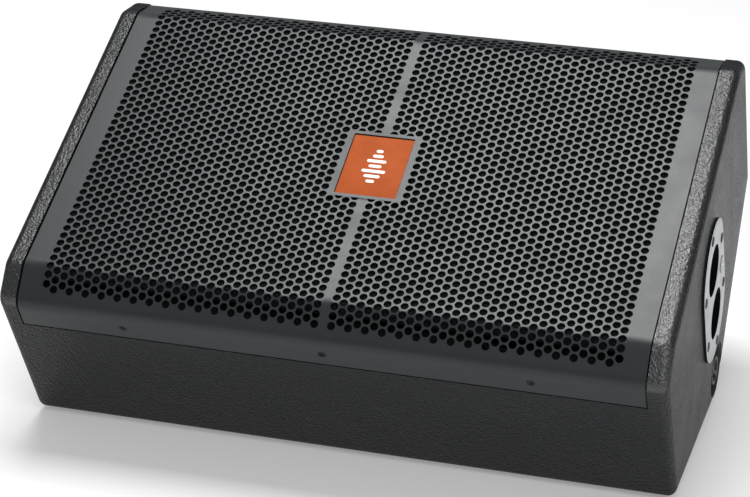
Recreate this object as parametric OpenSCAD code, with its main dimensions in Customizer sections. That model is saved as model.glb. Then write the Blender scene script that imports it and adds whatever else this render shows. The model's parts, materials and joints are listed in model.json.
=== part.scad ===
// Two-way floor monitor wedge: plywood cabinet, folded steel grille, 12 inch woofer and horn.
// The profile is drawn in its own tilted axes: x across, u up the slope of the face, v out of the face.

/* [Cabinet] */
// Overall width across the two end cheeks
cab_w = 600; // [596:1:640]
// Angle between the sloping face and the floor
base_angle = 27; // [26:0.5:30]
// Distance from the middle of the face to the front and back panels, along the slope
half_slope = 190.5; // [190:0.5:200]
// Depth of the front and back panels below the face
side_depth = 173; // [171:1:182]
// Thickness of the end cheeks
cheek_t = 18; // [18:1:20]
// Thickness of the other plywood panels
panel_t = 15; // [14:0.5:15]
// Radius of the rounded outer edge of each cheek
edge_r = 8; // [6:0.5:8]
// Height of the cheeks above the grille face
cheek_rise = 1.5; // [0:0.5:3]

/* [Grille] */
// Sheet thickness of the folded grille
grille_t = 1.2; // [1:0.1:1.5]
// Distance from the middle of the face to each of its long bends
bend_u = 158.5; // [154:0.5:162]
// Angle of the strips beyond the bends
strip_angle = 29; // [26:1:31]
// Radius of the rounded nose at the front and back
nose_r = 15; // [10:1:18]
// Distance of the lip's edge below the face
lip_depth = 45.5; // [44:0.5:47]
// Gap around the grille
seam = 1.5; // [1:0.1:1.8]
// Thickness of the foam behind the grille
foam_t = 8; // [5:1:10]
// Size of the badge across and up the slope
badge_size = [56, 71]; // [50:1:80]

/* [Woofer] */
// Distance of the woofer's axis from the middle, to the left
woofer_x = -116; // [-118:1:-114]
// Outer radius of the woofer frame
woofer_r = 156; // [154:0.5:157]
// Outer radius of the paper cone
cone_r = 116; // [112:1:117]
// Radius of the voice coil former
coil_r = 38; // [37:0.1:38.2]

/* [Horn] */
// Distance of the horn's axis from the middle, to the right
horn_x = 158; // [156:1:160]
// Width and height of the horn flange
horn_flange = 212; // [208:1:214]
// Diameter of the horn mouth
horn_mouth = 176; // [170:1:180]
// Radius of the horn throat
throat_r = 18; // [17:0.5:19]
// Depth of the horn behind the baffle
horn_depth = 88; // [84:1:92]

/* [Side fittings] */
// Radius of the two stand pole bores
pole_bore_r = 18.1; // [17.7:0.1:18.4]
// Depth of the stand pole bores
pole_bore_depth = 70; // [60:1:74]
// Tilt of the lower pole bore
pole_tilt = 7.5; // [5:0.5:8]
// Radius of the recessed input dish
dish_r = 27; // [26:0.5:27]

/* [Feet] */
// Height of the rubber feet
foot_h = 5; // [4:0.5:8]
// Radius of the rubber feet
foot_r = 19; // [14:1:20]

/* [Hidden] */
$fn = 64;
arc_steps = 6;
eps = 0.02;

// Profile of the cabinet
inner_w = cab_w - 2 * cheek_t;
inner_u = half_slope - panel_t;
nose_v = -(half_slope - bend_u) * tan(strip_angle);
valley_v = -side_depth - half_slope * tan(base_angle);
inner_valley_v = valley_v + panel_t / cos(base_angle);
corner_r = 10;
valley_r = 10;
origin_y = -43.7;
origin_z = foot_h + half_slope * sin(base_angle) + side_depth * cos(base_angle);

// Baffle, set back behind the grille
baffle_v = -29;
baffle_back_v = baffle_v - panel_t;
panel_top_v = -25;
rebate = grille_t + 0.2;
grille_w = inner_w - 2 * seam;
badge_t = 0.6;

// Screws
screw_r = 2;
screw_head_r = 4.2;
screw_head_h = 2.6;
pilot_gap = 0.1;
lip_screw_x = 183;
lip_screw_v = -33;
lip_screw_len = 14;

// Woofer, measured from the baffle's front face
gasket_t = 2;
frame_t = 4;
basket_r = 139.5;
basket_foot_r = 80;
basket_depth = 88;
frame_screw_r = 148;
cone_depth = 52;
spider_z = -64;
top_plate_t = 8;
magnet_t = 20;
back_plate_t = 8;
coil_gap = 2.2;

// Horn and compression driver, measured from the baffle's front face
horn_gasket_t = 1.5;
horn_wall = 4;
horn_cut_r = horn_mouth / 2 + horn_wall + 1.5;
horn_screw_in = 9;
throat_flange_t = 6;
driver_r = 52;
driver_z = -horn_depth - throat_flange_t;
dome_r = 34;
hf_plate_t = 8;
hf_magnet_t = 24;
hf_cap_t = 24;

// Bass reflex ports, in the baffle above and below the horn
port_u = 141;
port_r = 22;
port_wall = 3;
port_len = 90;
port_flange_r = 31;

// Crossover board, on the inside of the front panel
board_size = [150, 84, 1.6];
board_x = 35;
board_v = -106;
standoff_h = 8;
board_u = -inner_u + standoff_h;
board_hole = [66, 34];

// Pole socket plate and input dish on the right cheek
side_x = cab_w / 2;
pole_u = 0;
pole_v = [-90.5, -151];
plate_u = 0;
plate_v = -119.5;
plate_r = 47;
plate_half = 29.5;
plate_t = 1;
plate_gasket_t = 1;
plate_face_x = side_x + plate_gasket_t + plate_t;
tube_r = 26;
flare_r = 24;
flare_depth = 9;
lock_pos = [33, -120.5];
plate_screw_pos = [[0, -51], [-38.5, -90], [38.5, -90], [-38.5, -152], [38.5, -152], [0, -190]];
plate_screw_head_r = 4.4;
dish_pos = [0, -236.5];
dish_wall = 2.5;
dish_sink = 0.6;
dish_floor_x = side_x - 7.5;
connector_r = 12;

// Rubber feet on the base panel
foot_x = 236;
foot_along = [38, 176];
foot_screw_r = 2.2;

// Handle in the back panel
handle_size = [132, 76];
handle_v = -109;
handle_depth = 42;
handle_wall = 3;
handle_flange = 12;
grip_r = 10;

function unit(v) = v / norm(v);
function right_of(v) = [v[1], -v[0]];
function turned(v, a) = [v[0] * cos(a) - v[1] * sin(a), v[0] * sin(a) + v[1] * cos(a)];
function reversed(p) = [for (i = [len(p) - 1 : -1 : 0]) p[i]];

// Corner b of an outline that runs from a to c, moved to the right of travel by t
function moved_corner(a, b, c, t) =
    let (n1 = right_of(unit(b - a)), n2 = right_of(unit(c - b)))
    b + t * (n1 + n2) / (1 + n1 * n2);

function inset_open(p, t) = [
    for (i = [0 : len(p) - 1])
        i == 0 ? p[0] + t * right_of(unit(p[1] - p[0]))
        : i == len(p) - 1 ? p[i] + t * right_of(unit(p[i] - p[i - 1]))
        : moved_corner(p[i - 1], p[i], p[i + 1], t)
];

function inset_closed(p, t) =
    let (n = len(p))
    [for (i = [0 : n - 1]) moved_corner(p[(i + n - 1) % n], p[i], p[(i + 1) % n], t)];

// Arc of radius r that replaces corner b
function fillet(a, b, c, r) =
    let (
        d1 = unit(a - b),
        d2 = unit(c - b),
        half = acos(d1 * d2) / 2,
        centre = b + unit(d1 + d2) * r / sin(half),
        start = b + d1 * r / tan(half) - centre,
        way = cross(b - a, c - b) > 0 ? 1 : -1
    )
    [for (k = [0 : arc_steps]) centre + turned(start, way * (180 - 2 * half) * k / arc_steps)];

function rounded_open(p, r) = [
    p[0],
    for (i = [1 : len(p) - 2]) each fillet(p[i - 1], p[i], p[i + 1], r[i]),
    p[len(p) - 1]
];

function rounded_closed(p, r) =
    let (n = len(p))
    [for (i = [0 : n - 1]) each fillet(p[(i + n - 1) % n], p[i], p[(i + 1) % n], r[i])];

function smaller(r, t) = [for (x = r) max(x - t, 2)];

// Band between two insets of the same open outline
function band(p, r, t0, t1) = concat(
    rounded_open(inset_open(p, t0), smaller(r, t0)),
    reversed(rounded_open(inset_open(p, t1), smaller(r, t1)))
);

// Face of the grille from its front lip over the top to its back lip
grille_line = [
    [-half_slope, -lip_depth], [-half_slope, nose_v], [-bend_u, 0],
    [bend_u, 0], [half_slope, nose_v], [half_slope, -lip_depth]
];
grille_radii = [0, nose_r, 5, 5, nose_r, 0];

// Outline of a cheek, a little proud of the grille
cheek_nose_v = nose_v + cheek_rise / cos(strip_angle);
cheek_bend_u = bend_u + cheek_rise * (1 - cos(strip_angle)) / sin(strip_angle);
cheek_line = [
    [-half_slope, -side_depth], [-half_slope, cheek_nose_v], [-cheek_bend_u, cheek_rise],
    [cheek_bend_u, cheek_rise], [half_slope, cheek_nose_v], [half_slope, -side_depth], [0, valley_v]
];
cheek_radii = [corner_r, nose_r, nose_r, nose_r, nose_r, corner_r, valley_r];

// Puts the tilted axes x, u, v into the wedge's own frame
module tilted() {
    translate([0, origin_y, origin_z]) rotate([base_angle, 0, 0]) children();
}

// Extrudes a (u, v) outline across the cabinet, centred on x
module across(w, x = 0) {
    translate([x, 0, 0]) rotate([90, 0, 90]) linear_extrude(height = w, center = true) children();
}

// Turns a shape drawn along +z so that it looks out of the right cheek, at (u, v)
module from_side(pos, x) {
    translate([x, pos[0], pos[1]]) rotate([0, 90, 0]) children();
}

module tube(r_out, r_in, z0, z1) {
    translate([0, 0, z0]) difference() {
        cylinder(h = z1 - z0, r = r_out);
        translate([0, 0, -1]) cylinder(h = z1 - z0 + 2, r = r_in);
    }
}

// Countersunk screw, its head's top at z = 0 and its shank pointing down
module countersunk_screw(len, r = screw_r, head_r = screw_head_r, head_h = screw_head_h) {
    difference() {
        union() {
            translate([0, 0, -head_h]) cylinder(h = head_h, r1 = r, r2 = head_r);
            translate([0, 0, -len]) cylinder(h = len - head_h + eps, r = r);
        }
        cross_recess(head_r);
    }
}

// Pan-head screw, its head sitting on z = 0
module pan_screw(len, r = screw_r, head_r = screw_head_r, head_h = screw_head_h) {
    difference() {
        union() {
            cylinder(h = head_h, r = head_r);
            translate([0, 0, -len]) cylinder(h = len + eps, r = r);
        }
        translate([0, 0, head_h]) cross_recess(head_r);
    }
}

module cross_recess(head_r) {
    for (a = [0, 90]) rotate([0, 0, a]) cube([head_r * 1.2, head_r * 0.28, 2.6], center = true);
}

// ---- cabinet ----

module cheek_blank() {
    slices = 6;
    slice_t = 0.25;
    hull() {
        translate([0, 0, -cheek_t]) linear_extrude(height = slice_t)
            polygon(rounded_closed(cheek_line, cheek_radii));
        for (k = [0 : slices]) {
            t = edge_r * (1 - cos(90 * k / slices));
            z = -edge_r * (1 - sin(90 * k / slices));
            translate([0, 0, z - slice_t]) linear_extrude(height = slice_t)
                polygon(rounded_closed(inset_closed(cheek_line, t), smaller(cheek_radii, t)));
        }
    }
}

module cheek_shape() {
    translate([side_x, 0, 0]) rotate([90, 0, 90]) cheek_blank();
}

module left_cheek() {
    color("#1f2223") tilted() mirror([1, 0, 0]) cheek_shape();
}

module right_cheek() {
    color("#1f2223") tilted() difference() {
        cheek_shape();
        pole_cutout(side_x - cheek_t - 1, side_x + 1, tube_r + 1);
        from_side(dish_pos, dish_floor_x - dish_wall) cylinder(h = 20, r = dish_r + 0.3);
        from_side(dish_pos, side_x - cheek_t - 1) cylinder(h = cheek_t, r = connector_r + 1);
        for (p = plate_screw_pos)
            from_side(p, side_x - cheek_t + 1) cylinder(h = cheek_t, r = screw_r + pilot_gap);
    }
}

// Long round-ended cut that clears both pole tubes
module pole_cutout(x0, x1, r) {
    for (v = pole_v) from_side([pole_u, v], x0) cylinder(h = x1 - x0, r = r);
    translate([x0, pole_u - r, pole_v[1]]) cube([x1 - x0, 2 * r, pole_v[0] - pole_v[1]]);
}

function panel_foot_v(t) = -side_depth - t * tan(base_angle) + t / cos(base_angle);

// Front panel, with a rebate for the grille's lip
module wall_outline() {
    foot = fillet([-half_slope, 0], [-half_slope, -side_depth], [0, valley_v], corner_r);
    polygon(concat(
        [
            [-inner_u, panel_foot_v(panel_t)],
            [-inner_u, panel_top_v],
            [-half_slope + rebate, panel_top_v],
            [-half_slope + rebate, -lip_depth - seam],
            [-half_slope, -lip_depth - seam]
        ],
        [for (k = [0 : arc_steps / 2]) foot[k]]
    ));
}

module front_panel() {
    color("#1b1e1f") tilted() difference() {
        across(inner_w) wall_outline();
        lip_screw_holes(-1);
        for (sx = [-1, 1], sv = [-1, 1])
            translate([board_x + sx * board_hole[0], -inner_u - 6, board_v + sv * board_hole[1]])
                rotate([-90, 0, 0]) cylinder(h = 8, r = 1.6);
    }
}

module back_panel() {
    color("#1b1e1f") tilted() difference() {
        mirror([0, 1, 0]) across(inner_w) wall_outline();
        lip_screw_holes(1);
        translate([0, half_slope, handle_v])
            cube([handle_size[0] + 1, 4 * panel_t, handle_size[1] + 1], center = true);
        for (p = handle_screw_pos())
            translate([p[0], half_slope + 1, p[1]]) rotate([90, 0, 0])
                cylinder(h = 12, r = screw_r + pilot_gap);
    }
}

// Countersunk holes for the screws through the grille's lip
module lip_screw_holes(side) {
    for (x = [-lip_screw_x, 0, lip_screw_x])
        translate([x, side * half_slope, lip_screw_v]) rotate([side * 90, 0, 0]) {
            cylinder(h = lip_screw_len + 0.5, r = screw_r + pilot_gap);
            translate([0, 0, -eps])
                cylinder(h = screw_head_h + eps, r1 = screw_head_r + pilot_gap, r2 = screw_r);
        }
}

// Half of the V-shaped bottom, from the front panel's foot to the valley
module bottom_outline() {
    foot = fillet([-half_slope, 0], [-half_slope, -side_depth], [0, valley_v], corner_r);
    valley = fillet([-half_slope, -side_depth], [0, valley_v], [half_slope, -side_depth], valley_r);
    polygon(concat(
        [[0, inner_valley_v], [-inner_u, panel_foot_v(panel_t)]],
        [for (k = [arc_steps / 2 : arc_steps]) foot[k]],
        [for (k = [0 : arc_steps / 2]) valley[k]]
    ));
}

module base_panel() {
    color("#1b1e1f") tilted() difference() {
        across(inner_w) bottom_outline();
        each_foot() translate([0, 0, -1]) cylinder(h = 11.5, r = foot_screw_r + pilot_gap);
    }
}

module rear_base_panel() {
    color("#1b1e1f") tilted() mirror([0, 1, 0]) across(inner_w) bottom_outline();
}

module baffle_board() {
    color("#2a2622") tilted() difference() {
        translate([-inner_w / 2, -inner_u, baffle_back_v]) cube([inner_w, 2 * inner_u, panel_t]);
        at_woofer() translate([0, 0, -panel_t - 1]) cylinder(h = panel_t + 2, r = basket_r + 1.5);
        at_woofer() frame_screw_places()
            translate([0, 0, -panel_t - 1]) cylinder(h = panel_t + 2, r = screw_r + pilot_gap);
        at_horn() translate([0, 0, -panel_t - 1]) cylinder(h = panel_t + 2, r = horn_cut_r);
        at_horn() horn_screw_places()
            translate([0, 0, -panel_t - 1]) cylinder(h = panel_t + 2, r = screw_r + pilot_gap);
        at_ports() translate([0, 0, -panel_t - 1])
            cylinder(h = panel_t + 2, r = port_r + port_wall + 0.2);
    }
}

// Strips that tie the baffle to the front and back panels
module baffle_battens() {
    size = 12;
    right_end = 118;
    color("#b08a5a") tilted() for (u = [-inner_u, inner_u - size])
        translate([-inner_w / 2, u, baffle_back_v - size])
            cube([inner_w / 2 + right_end, size, size]);
}

module brace_struts() {
    u0 = 97;
    u1 = 127;
    color("#b08a5a") tilted() for (side = [-1, 1])
        across(14, 45) polygon([
            [side * u0, baffle_back_v],
            [side * u1, baffle_back_v],
            [side * u1, inner_valley_v + u1 * tan(base_angle)],
            [side * u0, inner_valley_v + u0 * tan(base_angle)]
        ]);
}

// ---- grille and badge ----

module grille() {
    window = [badge_size[0] + 1, badge_size[1] + 1];
    color("#7c8183") tilted() difference() {
        across(grille_w) polygon(band(grille_line, grille_radii, 0, grille_t));
        cube([window[0], window[1], 4 * grille_t], center = true);
        lip_screw_holes(-1);
        lip_screw_holes(1);
    }
}

module grille_foam() {
    foam_end = 20;
    foam_end_v = -(half_slope - foam_end - bend_u) * tan(strip_angle);
    line = [
        [-half_slope + foam_end, foam_end_v], [-bend_u, 0],
        [bend_u, 0], [half_slope - foam_end, foam_end_v]
    ];
    recess = [badge_size[0] + 16, badge_size[1] + 16];
    color("#131415") tilted() difference() {
        across(inner_w - 6) polygon(band(line, [0, 5, 5, 0], grille_t + 0.3, grille_t + foam_t));
        cube([recess[0], recess[1], 8], center = true);
    }
}

module grille_screws() {
    color("#33373a") tilted() for (x = [-lip_screw_x, 0, lip_screw_x], side = [-1, 1])
        translate([x, side * half_slope, lip_screw_v]) rotate([-side * 90, 0, 0])
            countersunk_screw(lip_screw_len);
}

// Backing plate behind the grille's window, with a shallow pocket for the badge
module badge_tray() {
    plate = [badge_size[0] + 12, badge_size[1] + 6];
    pocket = [badge_size[0] + 0.6, badge_size[1] + 0.6];
    color("#8b9193") tilted() difference() {
        translate([-plate[0] / 2, -plate[1] / 2, -grille_t - 1.8]) cube([plate[0], plate[1], 1.8]);
        translate([-pocket[0] / 2, -pocket[1] / 2, -grille_t - badge_t]) cube([pocket[0], pocket[1], 2]);
    }
}

module badge() {
    color("#dc6a35") tilted() translate([-badge_size[0] / 2, -badge_size[1] / 2, -grille_t - badge_t])
        cube([badge_size[0], badge_size[1], badge_t]);
}

// ---- woofer ----

module at_woofer() {
    translate([woofer_x, 0, baffle_v]) children();
}

module frame_screw_places() {
    for (a = [22.5 : 45 : 359]) rotate([0, 0, a]) translate([frame_screw_r, 0, 0]) children();
}

module woofer_gasket() {
    color("#202020") tilted() at_woofer() difference() {
        tube(woofer_r, basket_r + 1.5, 0, gasket_t);
        frame_screw_places() translate([0, 0, -1]) cylinder(h = gasket_t + 2, r = screw_r + 0.4);
    }
}

// Cast basket: flange, tapered shell with windows, spider ledge and foot ring
module woofer_frame() {
    windows = 6;
    color("#2c2f31") tilted() at_woofer() difference() {
        rotate_extrude() polygon([
            [woofer_r, gasket_t], [woofer_r, gasket_t + frame_t],
            [basket_r - 1, gasket_t + frame_t], [basket_r - 1, gasket_t + 1],
            [basket_r - 4, gasket_t + 1], [basket_r - 4, -12],
            [basket_foot_r + 4, spider_z + 4], [basket_foot_r + 4, spider_z],
            [basket_foot_r - 4, spider_z], [basket_foot_r - 4, -basket_depth + 5],
            [coil_r + 6, -basket_depth + 5], [coil_r + 6, -basket_depth],
            [basket_foot_r, -basket_depth], [basket_foot_r, spider_z - 4],
            [basket_foot_r + 8, spider_z], [basket_r, -10], [basket_r, gasket_t]
        ]);
        for (i = [0 : windows - 1]) rotate([0, 0, i * 360 / windows])
            translate([basket_foot_r + 14, -26, spider_z + 4]) cube([60, 52, 44]);
        frame_screw_places() translate([0, 0, -1]) cylinder(h = 12, r = screw_r + pilot_gap);
    }
}

// Half-roll edge between the cone and the frame
module woofer_surround() {
    roll_r = (basket_r - 4 - cone_r) / 2 - 0.5;
    mid_r = cone_r + 0.3 + roll_r;
    color("#17181a") tilted() at_woofer() rotate_extrude() {
        translate([mid_r, gasket_t + 1.2]) difference() {
            circle(r = roll_r);
            circle(r = roll_r - 1.2);
            translate([-roll_r - 1, -2 * roll_r]) square([2 * roll_r + 2, 2 * roll_r]);
        }
        translate([mid_r + roll_r - 1.2, gasket_t + 1.2]) square([4, 1.2]);
    }
}

module woofer_cone() {
    t = 1;
    color("#222426") tilted() at_woofer() rotate_extrude() polygon([
        [coil_r + 1, -cone_depth], [cone_r - 4, gasket_t], [cone_r, gasket_t],
        [cone_r, gasket_t + t], [cone_r - 4 - t, gasket_t + t], [coil_r + 1, -cone_depth + 2 * t]
    ]);
}

module woofer_dust_cap() {
    cap_r = 46;
    dome_ball_r = 75;
    base_z = -cone_depth + 8;
    ball_z = base_z - sqrt(dome_ball_r * dome_ball_r - cap_r * cap_r);
    color("#1c1e20") tilted() at_woofer() intersection() {
        translate([0, 0, ball_z]) difference() {
            sphere(r = dome_ball_r);
            sphere(r = dome_ball_r - 1);
        }
        translate([0, 0, base_z]) cylinder(h = 40, r = cap_r);
    }
}

module coil_former() {
    color("#c9a15a") tilted() at_woofer() tube(coil_r + 0.4, coil_r, -basket_depth - 12, -cone_depth);
}

module voice_coil() {
    color("#b5652b") tilted() at_woofer()
        tube(coil_r + 1.2, coil_r + 0.4, -basket_depth - 11, -basket_depth + 1);
}

// Corrugated centring spider
module woofer_spider() {
    waves = 5;
    inner = coil_r + 0.7;
    outer = basket_foot_r - 0.5;
    steps = 30;
    color("#a5874f") tilted() at_woofer() rotate_extrude() polygon(concat(
        [for (k = [0 : steps]) [inner + (outer - inner) * k / steps,
            spider_z + 3 + 1.6 * sin(360 * waves * k / steps)]],
        [for (k = [steps : -1 : 0]) [inner + (outer - inner) * k / steps,
            spider_z + 2.2 + 1.6 * sin(360 * waves * k / steps)]]
    ));
}

module woofer_top_plate() {
    color("#5d6163") tilted() at_woofer()
        tube(72, coil_r + coil_gap, -basket_depth - top_plate_t, -basket_depth);
}

module woofer_magnet() {
    z1 = -basket_depth - top_plate_t;
    color("#2f3133") tilted() at_woofer() tube(84, coil_r + 10, z1 - magnet_t, z1);
}

module woofer_back_plate() {
    z1 = -basket_depth - top_plate_t - magnet_t;
    color("#55595b") tilted() at_woofer() difference() {
        union() {
            translate([0, 0, z1 - back_plate_t]) cylinder(h = back_plate_t, r = 74);
            translate([0, 0, z1 - eps]) cylinder(h = magnet_t + top_plate_t, r = coil_r - 1);
        }
        translate([0, 0, z1 - back_plate_t - 1]) cylinder(h = 80, r = 12);
    }
}

module woofer_terminals() {
    color("#7a2020") tilted() at_woofer() rotate([0, 0, 90]) {
        translate([basket_foot_r + 0.2, -14, -basket_depth + 1]) cube([5, 28, 14]);
        for (y = [-8, 8]) translate([basket_foot_r + 5, y, -basket_depth + 8])
            rotate([0, 90, 0]) cylinder(h = 8, r = 3);
    }
}

module woofer_screws() {
    color("#2b2e30") tilted() at_woofer() frame_screw_places()
        translate([0, 0, gasket_t + frame_t]) pan_screw(22);
}

// ---- horn and compression driver ----

module at_horn() {
    translate([horn_x, 0, baffle_v]) children();
}

module horn_screw_places() {
    e = horn_flange / 2 - horn_screw_in;
    for (sx = [-1, 1], su = [-1, 1]) translate([sx * e, su * e, 0]) children();
    for (s = [-1, 1]) {
        translate([s * e, 0, 0]) children();
        translate([0, s * e, 0]) children();
    }
}

module horn_gasket() {
    color("#202020") tilted() at_horn() difference() {
        translate([-horn_flange / 2, -horn_flange / 2, 0])
            cube([horn_flange, horn_flange, horn_gasket_t]);
        cylinder(h = 10, r = horn_cut_r, center = true);
        horn_screw_places() translate([0, 0, -1]) cylinder(h = 4, r = screw_r + 0.4);
    }
}

// Radius of the flare at depth f of the horn, 0 at the throat and 1 at the mouth
function flare_at(f) = throat_r + (horn_mouth / 2 - throat_r) * pow(f, 1.35);

module horn() {
    top = horn_gasket_t + horn_wall;
    steps = 8;
    flare = [for (i = [0 : steps]) [flare_at(i / steps), (top + horn_depth) * i / steps - horn_depth]];
    color("#1d1f20") tilted() at_horn() difference() {
        union() {
            difference() {
                translate([-horn_flange / 2, -horn_flange / 2, horn_gasket_t])
                    cube([horn_flange, horn_flange, horn_wall]);
                cylinder(h = 40, r = horn_mouth / 2 + 1, center = true);
            }
            rotate_extrude() polygon(concat(flare, [for (p = reversed(flare)) p + [horn_wall, 0]]));
            tube(46, throat_r, -horn_depth - throat_flange_t, -horn_depth + eps);
        }
        horn_screw_places() translate([0, 0, -1]) cylinder(h = 12, r = screw_r + pilot_gap);
        driver_bolt_places() translate([0, 0, -horn_depth - throat_flange_t - 1])
            cylinder(h = throat_flange_t + 4, r = 3 + pilot_gap);
    }
}

module horn_screws() {
    color("#2b2e30") tilted() at_horn() horn_screw_places()
        translate([0, 0, horn_gasket_t + horn_wall]) pan_screw(20);
}

module driver_bolt_places() {
    for (a = [45 : 90 : 359]) rotate([0, 0, a]) translate([38, 0, 0]) children();
}

module driver_front_plate() {
    color("#5d6163") tilted() at_horn() difference() {
        tube(driver_r - 2, throat_r, driver_z - hf_plate_t, driver_z);
        driver_bolt_places() translate([0, 0, driver_z - hf_plate_t - 1])
            cylinder(h = hf_plate_t + 2, r = 3 + pilot_gap);
    }
}

module driver_magnet() {
    z1 = driver_z - hf_plate_t;
    color("#2f3133") tilted() at_horn() tube(driver_r, 42.5, z1 - hf_magnet_t, z1);
}

// Pole piece with the throat passage and the ring-slotted phase plug
module phase_plug() {
    z1 = driver_z - hf_plate_t;
    z0 = z1 - hf_magnet_t + 2;
    color("#6b7073") tilted() at_horn() difference() {
        translate([0, 0, z0]) cylinder(h = z1 - z0, r = dome_r - 0.6);
        translate([0, 0, z0 + 6]) cylinder(h = z1 - z0, r1 = 8, r2 = throat_r);
        for (r = [10, 18, 26]) tube(r + 1, r - 1, z0 - 1, z0 + 4);
    }
}

module hf_diaphragm() {
    ball_r = 46;
    base_z = driver_z - hf_plate_t - hf_magnet_t + 0.6;
    ball_z = base_z + sqrt(ball_r * ball_r - (dome_r + 1) * (dome_r + 1));
    color("#c8ccd0") tilted() at_horn() intersection() {
        translate([0, 0, ball_z]) difference() {
            sphere(r = ball_r);
            sphere(r = ball_r - 0.5);
        }
        translate([0, 0, base_z - 30]) cylinder(h = 30, r = dome_r + 1);
    }
}

// Flexible ring between the diaphragm and its clamped rim
module hf_suspension() {
    z0 = driver_z - hf_plate_t - hf_magnet_t;
    color("#a5874f") tilted() at_horn() tube(driver_r - 8.3, dome_r + 1.4, z0 - 0.6, z0 - 0.1);
}

module hf_voice_coil() {
    z0 = driver_z - hf_plate_t - hf_magnet_t + 0.6;
    color("#b5652b") tilted() at_horn() tube(dome_r + 1.2, dome_r + 0.3, z0, z0 + 10);
}

module driver_rear_cap() {
    z1 = driver_z - hf_plate_t - hf_magnet_t;
    color("#26292b") tilted() at_horn() difference() {
        translate([0, 0, z1 - hf_cap_t]) cylinder(h = hf_cap_t, r = driver_r);
        translate([0, 0, z1 - hf_cap_t + 3]) cylinder(h = hf_cap_t, r = driver_r - 8);
    }
}

module driver_bolts() {
    color("#8a8f92") tilted() at_horn() driver_bolt_places() {
        translate([0, 0, -horn_depth + 2]) cylinder(h = 3.5, r = 5.5, $fn = 6);
        translate([0, 0, driver_z - hf_plate_t]) cylinder(h = hf_plate_t + throat_flange_t + 2, r = 3);
    }
}

module at_ports() {
    for (side = [-1, 1]) translate([horn_x, side * port_u, baffle_v]) children();
}

module bass_ports() {
    color("#1d1f20") tilted() at_ports() {
        tube(port_flange_r, port_r, 0, 3);
        tube(port_r + port_wall, port_r, -port_len, eps);
    }
}

// ---- crossover ----

module on_board() {
    translate([board_x, board_u + board_size[2], board_v]) rotate([-90, 0, 0]) children();
}

module crossover_board() {
    color("#2d5a34") tilted() on_board() difference() {
        translate([-board_size[0] / 2, -board_size[1] / 2, -board_size[2]]) cube(board_size);
        for (sx = [-1, 1], sy = [-1, 1])
            translate([sx * board_hole[0], sy * board_hole[1], -5]) cylinder(h = 10, r = 1.8);
    }
}

module inductor(r, h) {
    tube(r * 0.92, r * 0.45, 2, h - 2);
    for (z = [0, h - 2]) tube(r, r * 0.38, z, z + 2);
}

module crossover_inductors() {
    color("#b5652b") tilted() on_board() {
        translate([-48, 2, 0]) inductor(20, 26);
        translate([-6, 14, 0]) inductor(14, 20);
    }
}

module crossover_capacitors() {
    color("#c8b23c") tilted() on_board() {
        for (i = [0 : 2]) translate([20 + 16 * i, -8, 8]) rotate([90, 0, 0])
            cylinder(h = 26, r = 7.5, center = true);
        translate([-4, -20, 7]) rotate([0, 90, 0]) cylinder(h = 24, r = 6.5, center = true);
    }
}

module crossover_resistors() {
    color("#e4e0d4") tilted() on_board() for (y = [16, 28])
        translate([14, y, 0]) cube([38, 8, 8]);
}

module board_standoffs() {
    color("#8a8f92") tilted() for (sx = [-1, 1], sv = [-1, 1])
        translate([board_x + sx * board_hole[0], -inner_u, board_v + sv * board_hole[1]])
            rotate([-90, 0, 0]) {
                tube(4, 1.6, 0, standoff_h);
                translate([0, 0, -6]) cylinder(h = standoff_h + 6 + board_size[2], r = 1.5);
                translate([0, 0, standoff_h + board_size[2]]) cylinder(h = 2, r = 3.2);
            }
}

// ---- input dish and speaker connector ----

module input_dish() {
    color("#121314") tilted() from_side(dish_pos, dish_floor_x - dish_wall) difference() {
        cylinder(h = side_x - dish_floor_x + dish_wall - dish_sink, r = dish_r);
        translate([0, 0, dish_wall]) cylinder(h = 20, r1 = dish_r - dish_wall - 1, r2 = dish_r + 3);
        translate([0, 0, -1]) cylinder(h = 20, r = connector_r + 0.2);
        connector_screw_places() translate([0, 0, -1]) cylinder(h = 8, r = 1.3 + pilot_gap);
    }
}

module connector_screw_places() {
    for (a = [45 : 90 : 359]) rotate([0, 0, a]) translate([16.3, 0, 0]) children();
}

// Panel socket: round flange, barrel, guard ring and keyed centre post
module speaker_connector() {
    depth = 24;
    color("#1a1c1d") tilted() from_side(dish_pos, dish_floor_x) difference() {
        union() {
            translate([0, 0, 0]) cylinder(h = 2.4, r = 19);
            translate([0, 0, -depth]) cylinder(h = depth + eps, r = connector_r);
            cylinder(h = 6.5, r = 13.4);
        }
        tube(11, 7.4, -depth + 5, 10);
        translate([0, 0, 4.5]) cylinder(h = 4, r = 7.6);
        for (a = [0, 120, 240]) rotate([0, 0, a]) translate([12, 0, 5.5])
            cube([4, 3, 3], center = true);
        connector_screw_places() translate([0, 0, -1]) cylinder(h = 8, r = 1.3 + pilot_gap);
    }
}

module connector_screws() {
    color("#8a8f92") tilted() from_side(dish_pos, dish_floor_x + 2.4) connector_screw_places()
        pan_screw(4.6, 1.3, 2.4, 1.3);
}

// ---- pole socket ----

module plate_stadium(x0, x1) {
    for (s = [-1, 1])
        from_side([plate_u, plate_v + s * plate_half], x0) cylinder(h = x1 - x0, r = plate_r);
    translate([x0, plate_u - plate_r, plate_v - plate_half])
        cube([x1 - x0, 2 * plate_r, 2 * plate_half]);
}

module pole_bore_place(i) {
    from_side([pole_u, pole_v[i]], plate_face_x) rotate([0, -i * pole_tilt, 0]) children();
}

module plate_screw_holes(r) {
    for (p = plate_screw_pos) from_side(p, side_x - 1) cylinder(h = 8, r = r);
}

module pole_plate_gasket() {
    color("#0e0f10") tilted() difference() {
        plate_stadium(side_x, side_x + plate_gasket_t);
        pole_cutout(side_x - 1, side_x + 4, tube_r + 1);
        plate_screw_holes(screw_r + 0.4);
        from_side(lock_pos, side_x - 1) cylinder(h = 5, r = 5.2);
    }
}

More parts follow.
